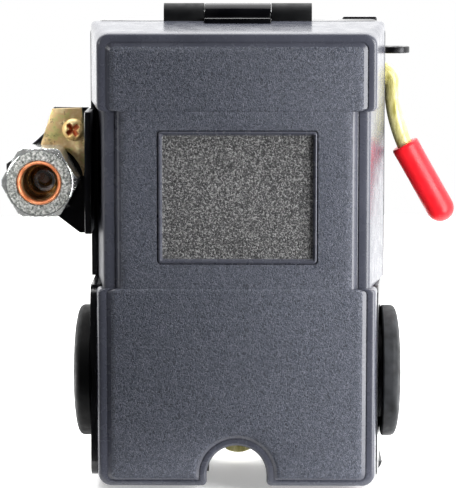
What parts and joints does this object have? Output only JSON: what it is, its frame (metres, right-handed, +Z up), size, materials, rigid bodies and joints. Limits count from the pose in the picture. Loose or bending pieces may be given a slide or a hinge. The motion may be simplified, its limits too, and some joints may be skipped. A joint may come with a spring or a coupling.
{
  "type": "pressure switch",
  "caption": "Air-compressor pressure switch: hinged drafted cover, side lever with grip, unloader valve with compression nut, domed cable grommets and a four-port manifold.",
  "frame": {"origin": "centre of the mouth of the pressure port, the switch's own mounting point", "axes": "+Y out of the pressure port, away from the cover; +Z up along the cover's height towards the hinge; +X towards the lever"},
  "size_m": [0.1072, 0.084, 0.1129],
  "materials": {
    "cover_plastic": "fine leather grain, slate grey",
    "gloss_black": "glossy moulded black",
    "base_black": "semi-gloss moulded black",
    "bright_zinc": "bright zinc plate",
    "black_steel": "black oxide",
    "grommet_rubber": "matte moulded rubber",
    "yellow_zinc": "yellow chromate zinc plate",
    "yellow_zinc_wire": "bright yellow chromate wire",
    "yellow_zinc_screw": "yellow chromate screw",
    "spring_steel": "oiled spring steel",
    "brass": "turned brass",
    "bakelite": "moulded phenolic",
    "silver_contact": "silver contact faces",
    "carrier_plastic": "brown phenolic",
    "copper": "copper strip",
    "green_zinc": "green plated earth screw",
    "nylon": "natural nylon",
    "red_vinyl": "dipped vinyl, semi-gloss",
    "nut_zinc": "bright zinc with granular end face",
    "copper_sleeve": "copper-coloured sleeve",
    "diaphragm_rubber": "fabric-backed rubber",
    "cast_black": "black coated casting"
  },
  "bodies": {
    "base": {"base_housing": "base_black", "hinge_pin": "bright_zinc", "lockout_tab": "black_steel", "cable_grommet_left": "grommet_rubber", "cable_grommet_right": "grommet_rubber", "frame_chassis": "yellow_zinc", "frame_cheek_left": "yellow_zinc", "frame_cheek_right": "yellow_zinc", "frame_screws": "bright_zinc", "range_stud": "bright_zinc", "range_spring": "spring_steel", "range_spring_cap": "yellow_zinc", "differential_stud": "bright_zinc", "differential_spring": "spring_steel", "rocker_pivot_pin": "bright_zinc", "contact_block": "bakelite", "terminal_plates": "brass", "terminal_screws": "bright_zinc", "fixed_contacts": "silver_contact", "ground_screw": "green_zinc", "cover_catch": "yellow_zinc", "lever_bush": "nylon", "valve_carrier": "gloss_black", "valve_bracket": "yellow_zinc", "bracket_screw": "yellow_zinc_screw", "valve_body": "brass", "compression_nut": "nut_zinc", "tube_sleeve": "copper_sleeve", "clamp_plate": "yellow_zinc", "diaphragm": "diaphragm_rubber", "manifold_flange": "cast_black", "manifold": "cast_black", "port_boss_left": "cast_black", "port_boss_right": "cast_black", "port_boss_bottom": "cast_black", "port_hexagon": "cast_black", "flange_bolts": "bright_zinc"},
    "cover": {"cover": "cover_plastic", "hinge_barrel": "gloss_black"},
    "lever": {"lever_wire": "yellow_zinc_wire", "lever_grip": "red_vinyl", "lever_cam": "bright_zinc", "lever_clip": "spring_steel"},
    "rocker": {"rocker_beam": "yellow_zinc", "unloader_arm": "yellow_zinc"},
    "plunger": {"plunger": "brass"},
    "contact_carrier": {"contact_carrier": "carrier_plastic", "moving_contacts": "copper"},
    "valve_pin": {"valve_pin": "bright_zinc"},
    "range_nut": {"range_nut": "bright_zinc"},
    "differential_nut": {"differential_nut": "bright_zinc"}
  },
  "joints": [
    {"name": "cover_hinge", "type": "hinge", "parent": "base", "child": "cover", "pos_m": [0, -0.0556, 0.0506], "axis": [-1, 0, 0], "range_deg": [0, 100]},
    {"name": "lever_swing", "type": "hinge", "parent": "base", "child": "lever", "pos_m": [0.03, -0.051, 0.0376], "axis": [-1, 0, 0], "range_deg": [0, 50]},
    {"name": "rocker_tilt", "type": "hinge", "parent": "base", "child": "rocker", "pos_m": [0, -0.061, 0.034], "axis": [-1, 0, 0], "range_deg": [0, 2.5], "deforming": ["range_spring", "differential_spring"]},
    {"name": "plunger_slide", "type": "slide", "parent": "base", "child": "plunger", "axis": [0, -1, 0], "range_m": [0, 0.0016]},
    {"name": "contact_slide", "type": "slide", "parent": "base", "child": "contact_carrier", "axis": [0, -1, 0], "range_m": [0, 0.0025]},
    {"name": "unloader_pin_slide", "type": "slide", "parent": "base", "child": "valve_pin", "axis": [0, -1, 0], "range_m": [0, 0.0012]},
    {"name": "range_nut_turn", "type": "hinge", "parent": "base", "child": "range_nut", "pos_m": [0, -0.076, 0.017], "axis": [0, -1, 0], "range_deg": [-180, 180]},
    {"name": "differential_nut_turn", "type": "hinge", "parent": "base", "child": "differential_nut", "pos_m": [0, -0.072, -0.013], "axis": [0, -1, 0], "range_deg": [-180, 180]}
  ],
  "couplings": [
    {"joint": "plunger_slide", "follows": "rocker_tilt", "m_per_rad": 0.034},
    {"joint": "contact_slide", "follows": "rocker_tilt", "m_per_rad": 0.0525},
    {"joint": "unloader_pin_slide", "follows": "rocker_tilt", "m_per_rad": 0.0215}
  ]
}
